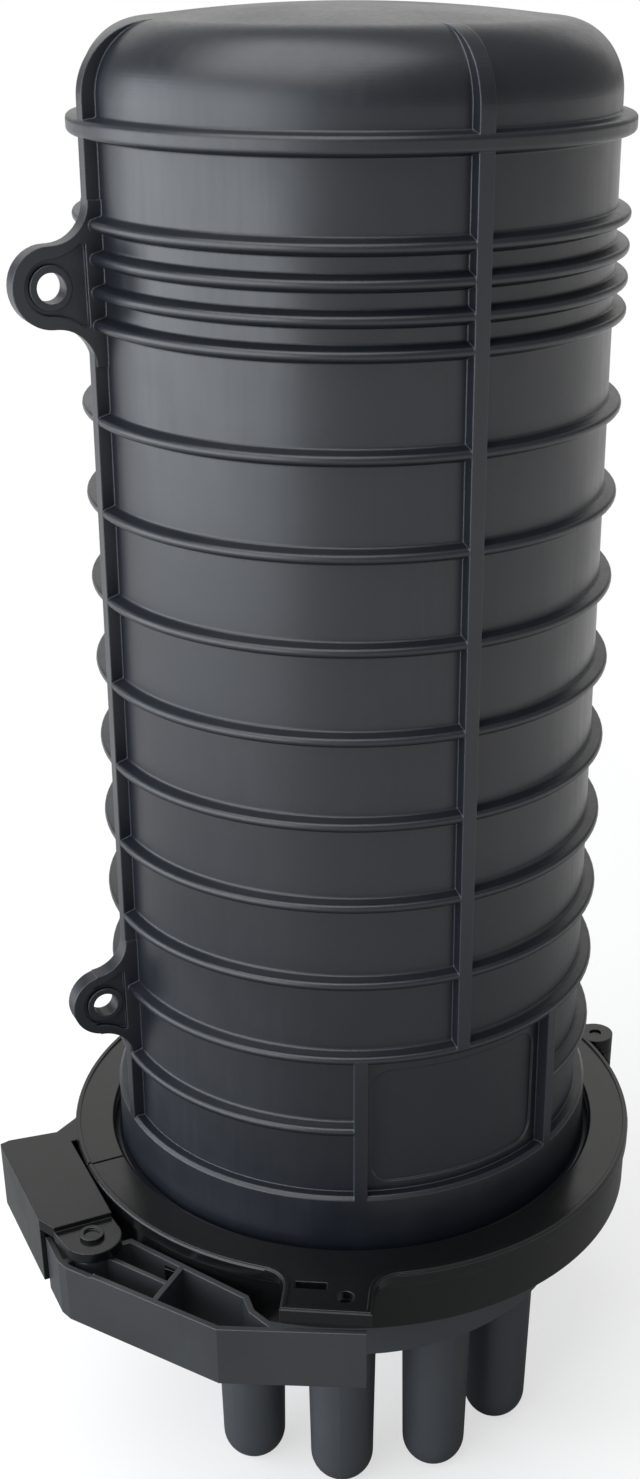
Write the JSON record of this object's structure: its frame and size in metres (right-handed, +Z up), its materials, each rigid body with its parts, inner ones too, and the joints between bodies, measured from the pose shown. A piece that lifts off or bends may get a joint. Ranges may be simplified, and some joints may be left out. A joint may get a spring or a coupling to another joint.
{
  "type": "dome splice closure",
  "caption": "Fibre dome splice closure: ribbed black dome with two mounting ears, hinged clamp ring with lever latch, base with closed round ports and an oval port, splice trays inside.",
  "frame": {"origin": "on the dome's axis, at the height of the lowest tips of the cable ports", "axes": "Z up along the dome's axis; X towards the clamp's hinge, the latch and ears at -X; -Y towards the label field"},
  "size_m": [0.2686, 0.2392, 0.5464],
  "materials": {
    "dome_plastic": "satin black moulded polypropylene",
    "base_plastic": "satin dark grey moulded polypropylene",
    "clamp_plastic": "glass-filled nylon, near black",
    "lever_plastic": "glass-filled nylon, dark grey",
    "seal_rubber": "soft moulded rubber",
    "tray_plastic": "light grey moulded plastic",
    "clear_plastic": "clear moulded plastic",
    "strap_fabric": "woven hook-and-loop strap",
    "steel": "stainless steel"
  },
  "bodies": {
    "root": {"dome": "dome_plastic", "base": "base_plastic", "seal_ring": "seal_rubber", "clamp_rear": "clamp_plastic", "clamp_hinge_pin": "clamp_plastic", "latch_pin": "clamp_plastic", "support_frame": "steel", "frame_screws": "steel", "tray_bracket": "base_plastic", "bracket_screws": "steel", "splice_tray_1": "tray_plastic", "splice_tray_2": "tray_plastic", "splice_tray_3": "tray_plastic", "splice_tray_4": "tray_plastic", "tray_cover": "clear_plastic", "tray_strap": "strap_fabric", "storage_basket": "tray_plastic", "strength_clamps": "steel", "clamp_screws": "steel", "earth_bolt": "steel", "earth_washer": "seal_rubber", "earth_nut": "steel"},
    "clamp_half": {"clamp_front": "clamp_plastic"},
    "lever": {"latch_lever": "lever_plastic"}
  },
  "joints": [
    {"name": "clamp_open", "type": "hinge", "parent": "root", "child": "clamp_half", "pos_m": [0.12, 0.0026, 0.126], "axis": [0, 0, 1], "range_deg": [0, 20]},
    {"name": "latch_open", "type": "hinge", "parent": "root", "child": "lever", "pos_m": [-0.125, -0.038, 0.119], "axis": [0, 0, 1], "range_deg": [-60, 0]}
  ],
  "couplings": [
    {"joint": "latch_open", "follows": "clamp_open", "ratio": -3}
  ]
}
